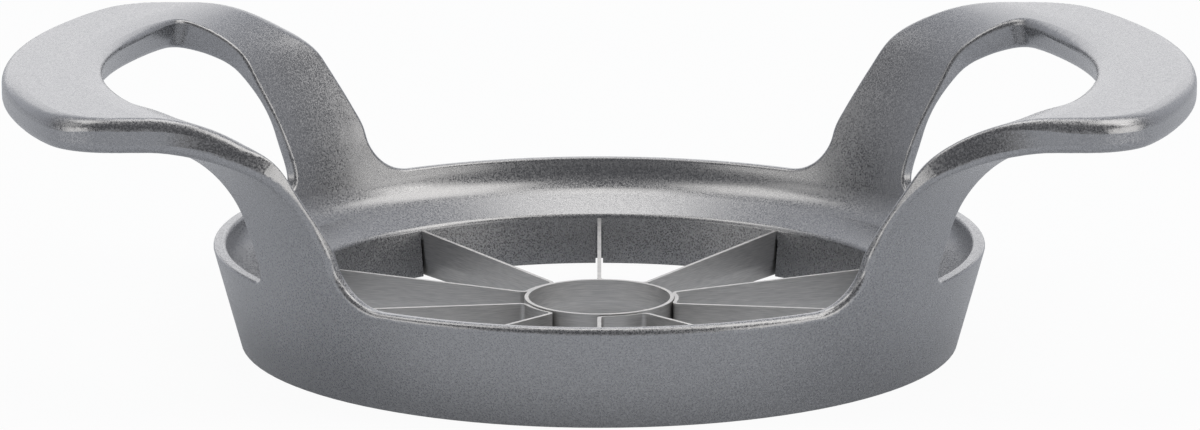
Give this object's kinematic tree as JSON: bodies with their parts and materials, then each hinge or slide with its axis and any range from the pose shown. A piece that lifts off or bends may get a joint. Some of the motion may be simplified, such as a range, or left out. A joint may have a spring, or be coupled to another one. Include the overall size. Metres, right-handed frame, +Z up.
{
  "type": "apple slicer wedger press",
  "caption": "Cast ring with a raised, open handle on each side, a sloping bowl and thin blades from a round core cutter, pressed down over an apple to core it and cut it into wedges.",
  "frame": {"origin": "on the ring's axis, in the plane of its foot", "axes": "+X from handle to handle, +Y across the handles and away from the front, +Z up along the ring's axis"},
  "size_m": [0.1808, 0.1178, 0.0435],
  "materials": {
    "coated_aluminium": "satin metallic coating over a die casting",
    "stainless_steel": "satin"
  },
  "bodies": {
    "root": {"cast_body": "coated_aluminium", "core_ring": "stainless_steel", "blade_strip_1": "stainless_steel", "blade_strip_2": "stainless_steel", "blade_strip_3": "stainless_steel", "blade_strip_4": "stainless_steel", "blade_strip_5": "stainless_steel"}
  },
  "joints": []
}
